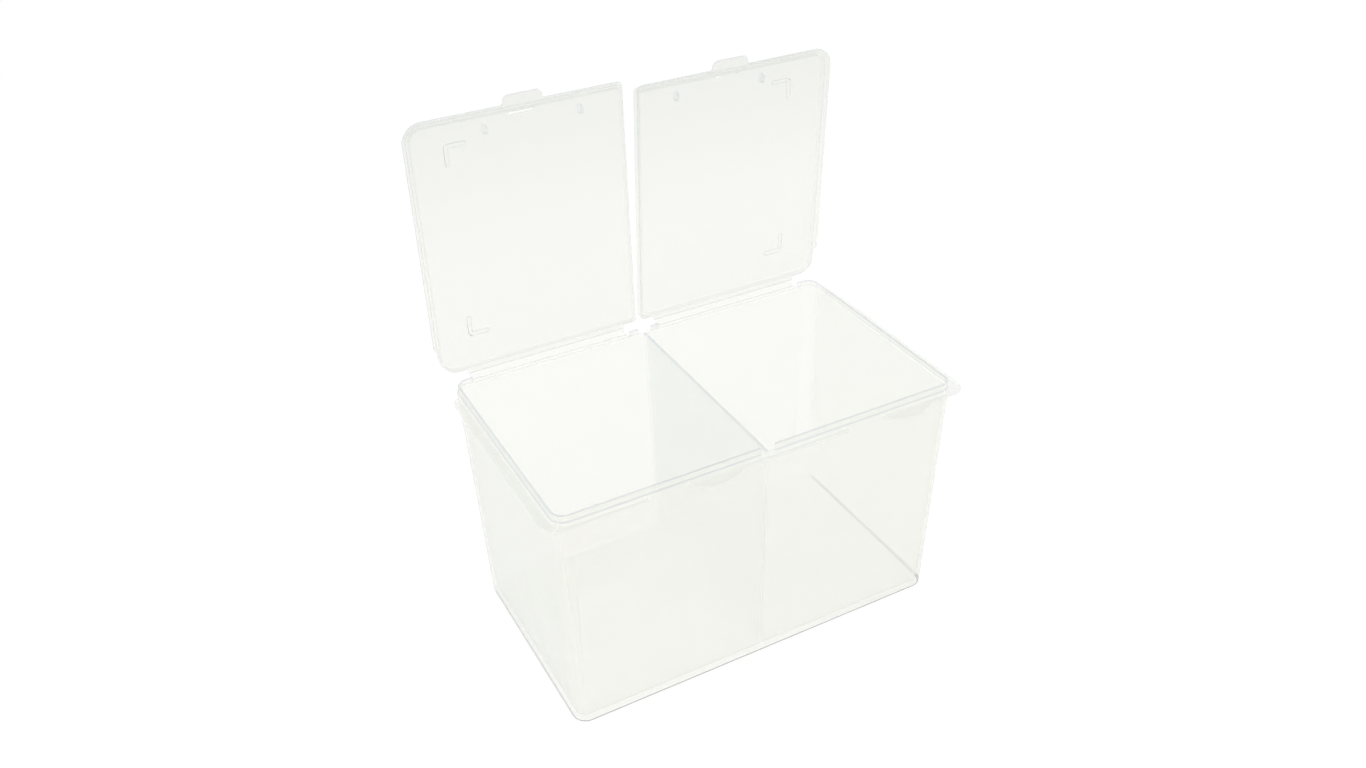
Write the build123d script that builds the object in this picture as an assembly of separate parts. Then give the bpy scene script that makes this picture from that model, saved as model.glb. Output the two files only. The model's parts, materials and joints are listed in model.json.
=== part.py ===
from build123d import *
import math
import os

# Twin-lid storage box: a tapered two-compartment tub with a centre divider and two
# separate lids, each joined to the rear rim by a thin flexible strip (a living hinge).
# Frame: +Z up, +X to the right, the front (latch side) faces -Y, origin at the middle
# of the base's underside. All sizes in millimetres.

# ---------------------------------------------------------------- tub
TUB_W = 200.0            # outer width of the walls at the rim
TUB_D = 119.0            # outer depth of the walls at the rim
BASE_INSET_X = 3.5       # how far each end wall leans in from rim to base
BASE_INSET_Y = 4.1       # how far the front and rear walls lean in from rim to base
RIM_Z = 119.3            # top face of the horizontal rim flange
WALL_T = 1.8             # wall thickness
BASE_T = 1.8             # base thickness
CORNER_R = 7.0           # vertical corner radius, outside
BASE_EDGE_R = 1.4        # rounding where wall meets base, outside
FLOOR_EDGE_R = 2.4       # rounding where wall meets floor, inside
DIVIDER_T = 1.5          # centre partition thickness
DIVIDER_Z = 119.6        # top of the centre partition

# ---------------------------------------------------------------- hinges
HINGE_Y = 64.1           # hinge line, behind the rear wall
HINGE_Z = RIM_Z          # hinge line, level with the top of the flange
FILM_HALF = 1.8          # flexible strip: half its width across the hinge line
FILM_T = 0.4             # flexible strip thickness
STRIP_X0 = 8.4           # flexible strip: inner end, measured from the centre
STRIP_X1 = 90.0          # flexible strip: outer end
LEFT_OPEN = 90.8         # opening angle of the left lid, measured from closed
RIGHT_OPEN = 86.4        # opening angle of the right lid, measured from closed

# ---------------------------------------------------------------- rim
FLANGE_SIDE = 4.4        # flange overhang past the wall, left and right
FLANGE_FRONT = 3.2       # flange overhang past the wall, front
FLANGE_T = 1.4           # flange thickness
FLANGE_R = 7.0           # flange corner radius, front corners
FLANGE_END_Y = 50.0      # the side flanges stop here, short of the rear corners
FLANGE_END_R = 5.0       # rounding of those ends
FLANGE_Z0 = RIM_Z - FLANGE_T
FLANGE_X = TUB_W / 2 + FLANGE_SIDE
FLANGE_FRONT_Y = -(TUB_D / 2 + FLANGE_FRONT)
LEDGE_X0 = 5.4           # hinge ledge behind the rear wall: inner end, from the centre
LEDGE_REAR_Y = HINGE_Y - FILM_HALF
WALL_BITE = 3.0          # how far ledge blanks and notch cutters reach in past the wall face
LIP_INSET = 0.75         # the lip stands this far inside the outer wall face
LIP_T = 1.05             # lip thickness
LIP_H = 3.3              # lip height above the flange
LIP_GAP = 3.4            # half of the lip's gap over the divider
LIP_CUT_Y = 30.0         # cutters for the rear lip start here, clear of the front lip

LATCH_X = 49.2           # centre of each latch, measured from the centre
NOTCH_HALF = 10.0        # half width of the flange cut-out in front of each latch
CATCH_HALF = 8.0         # half length of the catch bead on the lip
CATCH_HEIGHTS = (1.9, 2.25, 2.55, 2.95)  # catch bead profile heights above the rim
BEAD_OUT = 0.82          # how far each snap bead and catch bead stands out
TONGUE_OFF = 22.0        # thumb tongue centre, to the right of its latch
TONGUE_HALF = 12.0       # half width of the thumb tongue
TONGUE_OUT = 4.9         # how far the thumb tongue reaches past the flange

# ---------------------------------------------------------------- lids
# Given for the closed right lid. Names with _L are distances from the hinge line.
# Corner radii run front centre, front outer, rear outer, rear centre.
LID_X0 = 1.4             # skirt, centre side, outer face
LID_X1 = 102.6           # skirt, outer side, outer face
LID_L0 = 4.0             # skirt, hinge side, outer face
LID_L1 = 125.3           # skirt, front side, outer face
LID_RADII = (2.0, 7.0, 8.5, 1.5)
SKIRT_T = 1.1            # skirt thickness
SKIRT_H = 3.75           # skirt depth below the panel
PANEL_T = 1.2            # panel thickness
PANEL_EDGE_R = 0.7       # rounding of the panel's top edge
SEAT = 0.05              # closed lid floats this far above the flange
BRIM_OUT = 2.2           # brim overhang past the skirt
BRIM_T = 1.2             # brim thickness
BRIM_END_L = 17.5        # the brim stops here
BRIM_RADII = (3.0, 9.3, 2.0, 0.0)
TAB_HALF = 9.2           # finger tab half width
TAB_OUT = 4.2            # finger tab reach past the brim
TAB_ROOT_R = 1.4         # hollow fillets where the tab joins the brim
TAB_TIP_R = 2.9          # rounded outer corners of the tab
SNAP_HALF = 5.8          # snap bead half length inside the lid
SNAP_HEIGHTS = (0.4, 0.8, 1.1, 1.5)  # snap bead profile heights above the skirt's lower edge
SLOT_L0 = 121.3          # slot through the panel over the snap bead, start
SLOT_L1 = 122.7          # slot, end
MARK_X = 86.0            # outer corner of each stacking mark, from the centre
REAR_MARK_L = 18.0       # rear stacking mark corner
FRONT_MARK_L = 113.8     # front stacking mark corner
MARK_ARM = 10.8          # stacking mark arm length
MARK_W = 2.3             # stacking mark arm width
MARK_H = 1.0             # stacking mark height
MARK_OUTER_R = 1.6       # rounding at the mark's outer corner
MARK_INNER_R = 0.3       # the neighbouring corner of each arm, where the arms overlap
MARK_END_R = MARK_W / 2 - 0.01  # arm ends, just short of a full half circle
RIB_X_OUT = 67.4         # locating rib nearer the outer side
RIB_X_IN = 21.9          # locating rib nearer the centre
RIB_L0 = 116.0           # locating rib, start
RIB_L1 = 120.0           # locating rib, end
RIB_T = 1.6              # locating rib thickness
RIB_FOOT = 0.3           # rib's lower edge, above the skirt's lower edge
RIB_SHOULDER = 1.2       # where the rib starts to taper, above the skirt's lower edge
RIB_TAPER = 1.0          # how far the taper comes in along Y at each end

OVERRUN = 1.0            # how far cutters run past what they cut
SIDES = (("left", -1), ("right", 1))

os.makedirs("parts", exist_ok=True)


# ---------------------------------------------------------------- helpers
def save(shape, name):
    """Writes one named node."""
    shape.label = name
    export_step(shape, "parts/" + name + ".step")


def quarter_arc(start, sharp, end):
    """Quarter circle that rounds off the right-angled corner at sharp."""
    centre = [s + e - p for s, e, p in zip(start, end, sharp)]
    middle = [c + (s + e - 2 * c) * math.sqrt(0.5) for s, e, c in zip(start, end, centre)]
    return Edge.make_three_point_arc(start, tuple(middle), end)


def rounded_face(corners):
    """Face through (start, sharp, end) corners, each an arc, joined by straight lines."""
    edges = []
    for i, (start, sharp, end) in enumerate(corners):
        if start != end:
            edges.append(quarter_arc(start, sharp, end))
        next_start = corners[(i + 1) % len(corners)][0]
        edges.append(Edge.make_line(end, next_start))
    return Face(Wire(edges))


def rounded_rect(x0, y0, x1, y1, radii):
    """Rectangle with its own radius at (x0, y0), (x1, y0), (x1, y1) and (x0, y1)."""
    ra, rb, rc, rd = radii
    return rounded_face([
        ((x0, y0 + ra), (x0, y0), (x0 + ra, y0)),
        ((x1 - rb, y0), (x1, y0), (x1, y0 + rb)),
        ((x1, y1 - rc), (x1, y1), (x1 - rc, y1)),
        ((x0 + rd, y1), (x0, y1), (x0, y1 - rd)),
    ])


def prism(face, z0, z1):
    """A flat face in XY pulled up from z0 to z1."""
    return Solid.extrude(face.moved(Location((0, 0, z0))), Vector(0, 0, z1 - z0))


def box(x0, y0, z0, x1, y1, z1):
    """Box between two opposite corners."""
    return Solid.make_box(x1 - x0, y1 - y0, z1 - z0).moved(Location((x0, y0, z0)))


def bar(points, x0, x1):
    """A closed outline of (y, z) points pulled along X."""
    wire = Wire.make_polygon([Vector(x0, y, z) for y, z in points], close=True)
    return Solid.extrude(Face(wire), Vector(x1 - x0, 0, 0))


def bead(x_mid, half, y_wall, y_crest, base_z, heights):
    """Trapezoid bead along X, standing out of a wall from y_wall to y_crest."""
    points = zip((y_wall, y_crest, y_crest, y_wall), (base_z + h for h in heights))
    return bar(list(points), x_mid - half, x_mid + half)


# ---------------------------------------------------------------- tub
def wall_block(inset, z0, z1):
    """Solid bounded by the leaning wall faces moved in by inset, between z0 and z1."""
    def outline(z):
        lean = 1.0 - z / RIM_Z
        half_x = TUB_W / 2 - BASE_INSET_X * lean - inset
        half_y = TUB_D / 2 - BASE_INSET_Y * lean - inset
        face = rounded_rect(-half_x, -half_y, half_x, half_y, (CORNER_R - inset,) * 4)
        return face.moved(Location((0, 0, z))).outer_wire()
    return Solid.make_loft([outline(z0), outline(z1)], ruled=True)


def round_edges_at(solid, z, radius):
    """Fillets the edges that lie at height z."""
    edges = [e for e in solid.edges() if abs(e.center().Z - z) < 1e-6]
    return solid.fillet(radius, edges)


def centre_divider(cavity):
    """Partition that fills the cavity's section and stands slightly above the rim."""
    slab = box(-DIVIDER_T / 2, -TUB_D, 0, DIVIDER_T / 2, TUB_D, RIM_Z)
    lower = slab & cavity
    inner_y = TUB_D / 2 - WALL_T
    upper = box(-DIVIDER_T / 2, -inner_y, RIM_Z, DIVIDER_T / 2, inner_y, DIVIDER_Z)
    return (lower + upper).clean()


# ---------------------------------------------------------------- rim
def rim_flange(tub_outer):
    """Flange round the front and sides, split by a cut-out in front of each latch."""
    outline = rounded_rect(-FLANGE_X, FLANGE_FRONT_Y, FLANGE_X, FLANGE_END_Y,
                           (FLANGE_R, FLANGE_R, FLANGE_END_R, FLANGE_END_R))
    flange = prism(outline, FLANGE_Z0, RIM_Z) - tub_outer
    for _, side in SIDES:
        x = side * LATCH_X
        flange = flange - box(x - NOTCH_HALF, FLANGE_FRONT_Y - OVERRUN, FLANGE_Z0 - OVERRUN,
                              x + NOTCH_HALF, -TUB_D / 2 + WALL_BITE, RIM_Z + OVERRUN)
    return flange


def hinge_ledge(side, tub_outer):
    """Rim behind the rear wall that carries one flexible strip."""
    xa, xb = sorted((side * LEDGE_X0, side * STRIP_X1))
    return box(xa, TUB_D / 2 - WALL_BITE, FLANGE_Z0, xb, LEDGE_REAR_Y, RIM_Z) - tub_outer


def thumb_tongue(side):
    """Ledge with an arched edge that stands out of the front of the flange."""
    x = side * LATCH_X + TONGUE_OFF
    start = (x - TONGUE_HALF, FLANGE_FRONT_Y)
    end = (x + TONGUE_HALF, FLANGE_FRONT_Y)
    arc = Edge.make_three_point_arc(start, (x, FLANGE_FRONT_Y - TONGUE_OUT), end)
    return prism(Face(Wire([arc, Edge.make_line(end, start)])), FLANGE_Z0, RIM_Z)


def rim_lip():
    """Upright lip, open over the divider and along the flexible strips."""
    def outline(inset):
        half_x, half_y = TUB_W / 2 - inset, TUB_D / 2 - inset
        return rounded_rect(-half_x, -half_y, half_x, half_y, (CORNER_R - inset,) * 4)
    top = RIM_Z + LIP_H
    cut_z0, cut_z1 = RIM_Z - OVERRUN, top + OVERRUN
    lip = prism(outline(LIP_INSET), RIM_Z, top)
    lip = lip - prism(outline(LIP_INSET + LIP_T), cut_z0, cut_z1)
    lip = lip - box(-LIP_GAP, -TUB_D, cut_z0, LIP_GAP, TUB_D, cut_z1)
    for _, side in SIDES:
        xa, xb = sorted((side * STRIP_X0, side * STRIP_X1))
        lip = lip - box(xa, LIP_CUT_Y, cut_z0, xb, TUB_D, cut_z1)
    return lip


def catch_bead(side):
    """Bead on the front of the lip, in the latch cut-out."""
    y = -(TUB_D / 2 - LIP_INSET)
    return bead(side * LATCH_X, CATCH_HALF, y, y - BEAD_OUT, RIM_Z, CATCH_HEIGHTS)


# ---------------------------------------------------------------- flexible strips
def hinge_film(angle, side):
    """Curved strip from the ledge edge to the lid edge, at this opening angle. It leaves
    the ledge level and reaches the lid along the lid's own plane."""
    opening = math.radians(angle)
    turn = math.pi - opening
    # the strip's mid-planes on the ledge and on the lid meet at corner_y from the hinge line
    mid_z = -FILM_T / 2
    meet = (mid_z - (FILM_T / 2) * math.cos(opening)) / math.sin(opening)
    corner_y = -meet * math.cos(opening) + (FILM_T / 2) * math.sin(opening)
    bend_r = (corner_y + FILM_HALF) / math.tan(turn / 2)
    centre_z = HINGE_Z + mid_z + bend_r
    xa, xb = sorted((side * STRIP_X0, side * STRIP_X1))

    def at(radius, a):
        return Vector(xa, LEDGE_REAR_Y + radius * math.sin(a), centre_z - radius * math.cos(a))

    far, near = bend_r + FILM_T / 2, bend_r - FILM_T / 2
    face = Face(Wire([
        Edge.make_three_point_arc(at(far, 0), at(far, turn / 2), at(far, turn)),
        Edge.make_line(at(far, turn), at(near, turn)),
        Edge.make_three_point_arc(at(near, turn), at(near, turn / 2), at(near, 0)),
        Edge.make_line(at(near, 0), at(far, 0)),
    ]))
    return Solid.extrude(face, Vector(xb - xa, 0, 0))


# ---------------------------------------------------------------- right lid, closed
def y_of(dist):
    """Y of a point at this distance from the hinge line on the closed lid."""
    return HINGE_Y - dist


LID_Z0 = RIM_Z + SEAT                # lower edge of the skirt
PANEL_Z0 = LID_Z0 + SKIRT_H
PANEL_Z1 = PANEL_Z0 + PANEL_T
BRIM_Z1 = LID_Z0 + BRIM_T
SKIRT_FRONT_Y = y_of(LID_L1)
SKIRT_REAR_Y = y_of(LID_L0)
BRIM_FRONT_Y = y_of(LID_L1 + BRIM_OUT)


def lid_outline(inset=0.0):
    """Outer face of the skirt in plan, moved in by inset."""
    return rounded_rect(LID_X0 + inset, SKIRT_FRONT_Y + inset, LID_X1 - inset,
                        SKIRT_REAR_Y - inset, [r - inset for r in LID_RADII])


def lid_panel():
    panel = round_edges_at(prism(lid_outline(), PANEL_Z0, PANEL_Z1), PANEL_Z1, PANEL_EDGE_R)
    return panel - box(LATCH_X - SNAP_HALF, y_of(SLOT_L1), PANEL_Z0 - OVERRUN,
                       LATCH_X + SNAP_HALF, y_of(SLOT_L0), PANEL_Z1 + OVERRUN)


def lid_skirt():
    inside = prism(lid_outline(SKIRT_T), LID_Z0 - OVERRUN, PANEL_Z0 + OVERRUN)
    return prism(lid_outline(), LID_Z0, PANEL_Z0) - inside


def lid_brim():
    """Ledge round the front and outer side of the skirt."""
    outline = rounded_rect(LID_X0, BRIM_FRONT_Y, LID_X1 + BRIM_OUT, y_of(BRIM_END_L), BRIM_RADII)
    brim = prism(outline, LID_Z0, BRIM_Z1) - prism(lid_outline(), LID_Z0 - OVERRUN, PANEL_Z0)
    return brim.solids().sort_by(lambda s: s.volume)[-1]


def finger_tab():
    left, right = LATCH_X - TAB_HALF, LATCH_X + TAB_HALF
    root, tip = BRIM_FRONT_Y, BRIM_FRONT_Y - TAB_OUT
    face = rounded_face([
        ((left - TAB_ROOT_R, root), (left, root), (left, root - TAB_ROOT_R)),
        ((left, tip + TAB_TIP_R), (left, tip), (left + TAB_TIP_R, tip)),
        ((right - TAB_TIP_R, tip), (right, tip), (right, tip + TAB_TIP_R)),
        ((right, root - TAB_ROOT_R), (right, root), (right + TAB_ROOT_R, root)),
    ])
    return prism(face, LID_Z0, BRIM_Z1)


def snap_bead():
    """Bead on the inside of the front skirt."""
    y = SKIRT_FRONT_Y + SKIRT_T
    return bead(LATCH_X, SNAP_HALF, y, y + BEAD_OUT, LID_Z0, SNAP_HEIGHTS)


def locating_rib(x):
    """Rib under the panel, tapered at both ends of its foot."""
    front, rear = y_of(RIB_L1), y_of(RIB_L0)
    foot, shoulder = LID_Z0 + RIB_FOOT, LID_Z0 + RIB_SHOULDER
    points = [(front, PANEL_Z0), (front, shoulder), (front + RIB_TAPER, foot),
              (rear - RIB_TAPER, foot), (rear, shoulder), (rear, PANEL_Z0)]
    return bar(points, x - RIB_T / 2, x + RIB_T / 2)


def stacking_mark(dist, inward):
    """Raised L on the panel; inward is the Y direction of its side arm, +1 or -1."""
    def arm(length_x, length_y, radii):
        ya, yb = sorted((y_of(dist), y_of(dist) + inward * length_y))
        face = rounded_rect(MARK_X - length_x, ya, MARK_X, yb, radii[::inward])
        return prism(face, PANEL_Z1, PANEL_Z1 + MARK_H)
    side_arm = arm(MARK_W, MARK_ARM, (MARK_INNER_R, MARK_OUTER_R, MARK_END_R, MARK_END_R))
    cross_arm = arm(MARK_ARM, MARK_W, (MARK_END_R, MARK_OUTER_R, MARK_INNER_R, MARK_END_R))
    return (side_arm + cross_arm).clean()


def hinge_land():
    """Ledge behind the skirt that carries the flexible strip."""
    return box(STRIP_X0, SKIRT_REAR_Y, LID_Z0, STRIP_X1, y_of(FILM_HALF), BRIM_Z1)


# ---------------------------------------------------------------- build
tub_outer = wall_block(0.0, 0.0, RIM_Z)
tub_cavity = round_edges_at(wall_block(WALL_T, BASE_T, RIM_Z), BASE_T, FLOOR_EDGE_R)
save(round_edges_at(tub_outer, 0.0, BASE_EDGE_R) - tub_cavity, "tub_shell")
save(centre_divider(tub_cavity), "centre_divider")

for solid in rim_flange(tub_outer).solids():
    x = solid.center().X
    place = "front" if abs(x) < LATCH_X else ("left" if x < 0 else "right")
    save(solid, place + "_rim_flange")

for solid in rim_lip().solids():
    x = solid.center().X
    kind = "_rear_lip_post" if abs(x) < STRIP_X0 else "_rim_lip"
    save(solid, ("left" if x < 0 else "right") + kind)

for name, side in SIDES:
    save(hinge_ledge(side, tub_outer), name + "_hinge_ledge")
    save(thumb_tongue(side), name + "_thumb_tongue")
    save(catch_bead(side), name + "_catch_bead")

save(hinge_film(LEFT_OPEN, -1), "left_hinge_film")
save(hinge_film(RIGHT_OPEN, 1), "right_hinge_film")

LID_PIECES = {
    "panel": lid_panel(),
    "skirt": lid_skirt(),
    "brim": lid_brim(),
    "finger_tab": finger_tab(),
    "snap_bead": snap_bead(),
    "outer_rib": locating_rib(RIB_X_OUT),
    "inner_rib": locating_rib(RIB_X_IN),
    "front_mark": stacking_mark(FRONT_MARK_L, 1),
    "rear_mark": stacking_mark(REAR_MARK_L, -1),
    "hinge_land": hinge_land(),
}
# the left lid is the right one mirrored; each swings open about the hinge line
HINGE_AXIS = Axis((0, HINGE_Y, HINGE_Z), (1, 0, 0))
for name, shape in LID_PIECES.items():
    save(shape.rotate(HINGE_AXIS, -RIGHT_OPEN), "right_lid_" + name)
    save(shape.mirror(Plane.YZ).rotate(HINGE_AXIS, -LEFT_OPEN), "left_lid_" + name)
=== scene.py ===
# A translucent moulded box: one tub with a centre divider and two lids side by side, each on
# a thin living hinge along the back and standing open.
# CAD frame: metres, +Z up, front at -Y, hinges at +Y, right lid at +X, underside at z = 0.
import bpy, bmesh, json, math
from collections import namedtuple
from mathutils import Vector, Matrix


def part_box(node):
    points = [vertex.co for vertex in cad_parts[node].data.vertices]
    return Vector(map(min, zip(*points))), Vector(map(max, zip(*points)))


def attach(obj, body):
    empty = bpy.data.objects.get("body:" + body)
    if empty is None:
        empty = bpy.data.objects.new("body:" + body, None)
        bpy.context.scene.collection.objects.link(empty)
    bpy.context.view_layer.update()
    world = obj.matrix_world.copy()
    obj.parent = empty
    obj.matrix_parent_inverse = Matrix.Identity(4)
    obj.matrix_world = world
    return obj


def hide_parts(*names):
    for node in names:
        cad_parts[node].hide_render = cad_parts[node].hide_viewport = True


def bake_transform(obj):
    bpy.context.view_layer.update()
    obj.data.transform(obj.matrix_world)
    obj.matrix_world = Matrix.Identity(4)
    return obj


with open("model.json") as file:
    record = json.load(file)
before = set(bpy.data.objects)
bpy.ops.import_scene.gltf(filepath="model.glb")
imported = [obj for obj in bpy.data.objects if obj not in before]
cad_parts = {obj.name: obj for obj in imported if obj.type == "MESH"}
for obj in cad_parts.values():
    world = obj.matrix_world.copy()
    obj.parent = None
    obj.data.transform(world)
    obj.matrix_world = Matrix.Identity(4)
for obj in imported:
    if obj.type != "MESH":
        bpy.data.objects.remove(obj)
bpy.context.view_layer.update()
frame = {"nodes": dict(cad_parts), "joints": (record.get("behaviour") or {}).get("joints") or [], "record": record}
MM = 0.001

# ------------------------------------------------------------------ tub sizes
# Read from the CAD nodes where they give them; the rest are the moulding's small radii.
_, tub_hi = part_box("tub_shell")
HALF_X, HALF_Y, RIM_Z = tub_hi.x, tub_hi.y, tub_hi.z
flange_lo, flange_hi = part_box("right_rim_flange")
FLANGE_X, FLANGE_FRONT, FLANGE_END = flange_hi.x, -flange_lo.y, flange_hi.y
FLANGE_T = flange_hi.z - flange_lo.z
FLANGE_R, FLANGE_END_R = 7.0 * MM, 5.0 * MM      # front corners; rear ends of the side flanges
ledge_lo, ledge_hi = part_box("right_hinge_ledge")
LEDGE_X0, LEDGE_X1, LEDGE_Y = ledge_lo.x, ledge_hi.x, ledge_hi.y
lip_lo, lip_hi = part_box("right_rim_lip")
LIP_GAP, LIP_TOP, LIP_INSET = lip_lo.x, lip_hi.z, HALF_X - lip_hi.x
LIP_H = LIP_TOP - RIM_Z
POST_X1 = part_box("right_rear_lip_post")[1].x
divider_lo, divider_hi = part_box("centre_divider")
DIVIDER_T, DIVIDER_TOP = divider_hi.x - divider_lo.x, divider_hi.z
WALL, BASE_T, CORNER_R = HALF_Y - divider_hi.y, divider_lo.z, 7.0 * MM
LEAN_X, LEAN_Y = 3.5 * MM, 4.1 * MM              # lean of the walls from rim to base
STRAIGHT_X, STRAIGHT_Y = HALF_X - CORNER_R, HALF_Y - CORNER_R
LIP_FILLET = 0.58 * MM                           # between the lip and the flange
FLANGE_EDGE_R = 0.38 * MM

joints = {j["name"]: j for j in frame["joints"]}
HINGE = Vector(joints["right_lid_hinge"]["pos_m"])
SIDES = ("left", "right")
OPEN = {s: -joints[s + "_lid_hinge"]["range_deg"][0] for s in SIDES}

# ------------------------------------------------------------------ lid sizes
# A lid is laid out shut: x, distance forward of the hinge line, height over the hinge line.
LidBox = namedtuple("LidBox", "x0 near low x1 far high")


def shut_points(part):
    """A right lid node's vertices with the lid turned shut, in lid coordinates."""
    turn = Matrix.Rotation(math.radians(OPEN["right"]), 4, "X")
    vertices = frame["nodes"]["right_lid_" + part].data.vertices
    points = [turn @ (v.co - HINGE) + HINGE for v in vertices]
    return [(p.x, HINGE.y - p.y, p.z - HINGE.z) for p in points]


def lid_box(points):
    columns = list(zip(*points))
    return LidBox(*map(min, columns), *map(max, columns))


skirt = lid_box(shut_points("skirt"))
LID_X0, LID_X1, LID_NEAR, LID_FAR = skirt.x0, skirt.x1, skirt.near, skirt.far
LID_LOW, PANEL_LOW = skirt.low, skirt.high       # feet of the skirt; underside of the panel
PANEL_TOP = lid_box(shut_points("panel")).high
SKIRT_T = 1.1 * MM
brim = lid_box(shut_points("brim"))
BRIM_W, BRIM_T, BRIM_END = brim.x1 - LID_X1, brim.high - brim.low, brim.near
tab = lid_box(shut_points("finger_tab"))
LATCH_X, TAB_OUT = (tab.x0 + tab.x1) / 2, tab.far - tab.near
TAB_ROOT_R, TAB_TIP_R = 1.4 * MM, 2.7 * MM
TAB_HALF = (tab.x1 - tab.x0) / 2 - TAB_ROOT_R
land = lid_box(shut_points("hinge_land"))
STRIP_X0, STRIP_X1, STRIP_NEAR = land.x0, land.x1, land.near
# half width of the gap in the front flange at each latch
NOTCH = LATCH_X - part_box("front_rim_flange")[1].x
# corner: (skirt's x, skirt's distance, radius, sign of x, sign of distance)
LID_CORNERS = {
    "far_outer": (LID_X1, LID_FAR, 7.0 * MM, 1, 1),
    "near_outer": (LID_X1, LID_NEAR, 8.5 * MM, 1, -1),
    "near_inner": (LID_X0, LID_NEAR, 1.5 * MM, -1, -1),
    "far_inner": (LID_X0, LID_FAR, 2.0 * MM, -1, 1),
}
CENTRES = {k: (x - sx * r, d - sy * r) for k, (x, d, r, sx, sy) in LID_CORNERS.items()}


# ------------------------------------------------------------------ outline helpers
def angles(first, last, steps):
    """Even steps between two angles in degrees, given in radians."""
    return [math.radians(first + (last - first) * i / steps) for i in range(steps + 1)]


def arc(u, v, radius, first, last, steps):
    """Points on an arc round (u, v)."""
    return [(u + radius * math.cos(a), v + radius * math.sin(a))
            for a in angles(first, last, steps)]


def eased(full, inside, radius):
    """Width of a strip at a distance inside its end, whose outer corner is rounded."""
    if inside < 0:
        return 0.0
    if inside > radius:
        return full
    return full - radius + math.sqrt(max(radius * radius - (radius - inside) ** 2, 0))


def places(lo, hi, step, breaks=()):
    """Positions from lo to hi, crowded on both sides of each break."""
    count = max(2, int((hi - lo) / step))
    found = {round(lo + (hi - lo) * i / count, 7) for i in range(count + 1)}
    for b in breaks:
        found = {v for v in found if abs(v - b) > 1.2 * MM}
        for away in (0.01, 0.06, 0.14, 0.26, 0.42, 0.62, 0.95):
            for sign in (-1, 1):
                v = b + sign * away * MM
                if lo < v < hi:
                    found.add(round(v, 7))
    return sorted(found)


def rounded(corners, radius):
    """Outline with every corner rounded."""
    outline = []
    for i, corner in enumerate(corners):
        corner = Vector(corner)
        back = (Vector(corners[i - 1]) - corner).normalized()
        on = (Vector(corners[(i + 1) % len(corners)]) - corner).normalized()
        half = math.acos(max(-1, min(1, back.dot(on)))) / 2
        run = radius / math.tan(half)
        centre = corner + (back + on).normalized() * (radius / math.sin(half))
        start = corner + back * run - centre
        end = corner + on * run - centre
        first = math.atan2(start.y, start.x)
        sweep = (math.atan2(end.y, end.x) - first + math.pi) % (2 * math.pi) - math.pi
        for k in range(6):
            a = first + sweep * k / 5
            outline.append((centre.x + radius * math.cos(a), centre.y + radius * math.sin(a)))
    return outline


# ------------------------------------------------------------------ mesh helpers
def to_object(name, bm):
    mesh = bpy.data.meshes.new(name)
    bm.to_mesh(mesh)
    bm.free()
    ob = bpy.data.objects.new(name, mesh)
    bpy.context.scene.collection.objects.link(ob)
    return ob


def clean(bm):
    bmesh.ops.remove_doubles(bm, verts=bm.verts, dist=2e-6)
    bmesh.ops.dissolve_degenerate(bm, dist=1e-6, edges=bm.edges)


def face_out(bm):
    bmesh.ops.recalc_face_normals(bm, faces=bm.faces)


def round_edges(bm, edges, radius):
    bmesh.ops.bevel(bm, geom=edges, offset=radius, segments=3, profile=0.5, affect="EDGES")


def join_rings(bm, rings):
    """Faces between closed rings of equal length."""
    n = len(rings[0])
    for a, b in zip(rings, rings[1:]):
        for i in range(n):
            bm.faces.new((a[i], a[(i + 1) % n], b[(i + 1) % n], b[i]))


def cap_rings(bm, rings):
    bm.faces.new(list(reversed(rings[0])))
    bm.faces.new(rings[-1])


def grid_solid(name, sections):
    """Closed solid from a ring of sections. Every section has the same number of points, from
    the middle of one side of the moulding round its edge to the middle of the other."""
    bm = bmesh.new()
    grid = [[bm.verts.new(p) for p in section] for section in sections]
    for i, a in enumerate(grid):
        b = grid[(i + 1) % len(grid)]
        for j in range(len(a) - 1):
            bm.faces.new((a[j], b[j], b[j + 1], a[j + 1]))
    bm.faces.new([row[0] for row in reversed(grid)])
    bm.faces.new([row[-1] for row in grid])
    clean(bm)
    face_out(bm)
    return to_object(name, bm)


def plate(name, outline, z0, z1, edge_r=0.0):
    """Plate from an outline in XY, with its upper and lower rims rounded."""
    bm = bmesh.new()
    low = [bm.verts.new((x, y, z0)) for x, y in outline]
    high = [bm.verts.new((x, y, z1)) for x, y in outline]
    n = len(outline)
    bm.faces.new(list(reversed(low)))
    bm.faces.new(high)
    for i in range(n):
        bm.faces.new((low[i], low[(i + 1) % n], high[(i + 1) % n], high[i]))
    face_out(bm)
    if edge_r > 0:
        rims = [e for z in (z1, z0) for e in bm.edges
                if all(abs(v.co.z - z) < 1e-9 for v in e.verts)]
        round_edges(bm, rims, edge_r)
    return to_object(name, bm)


def bar(name, outline, x0, x1, ease=0.0):
    """Bar along X from a (y, z) outline; with ease, its ends shrink as a moulded ridge's do."""
    bm = bmesh.new()
    mid_y = sum(p[0] for p in outline) / len(outline)
    mid_z = sum(p[1] for p in outline) / len(outline)
    steps = [(x0, 1.0), (x1, 1.0)]               # x, size of the section
    if ease > 0:
        steps = [(x0, 0.35), (x0 + ease * 0.35, 0.8), (x0 + ease, 1.0),
                 (x1 - ease, 1.0), (x1 - ease * 0.35, 0.8), (x1, 0.35)]
    rings = [[bm.verts.new((x, mid_y + (y - mid_y) * size, mid_z + (z - mid_z) * size))
              for y, z in outline] for x, size in steps]
    join_rings(bm, rings)
    cap_rings(bm, rings)
    face_out(bm)
    return to_object(name, bm)


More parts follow.
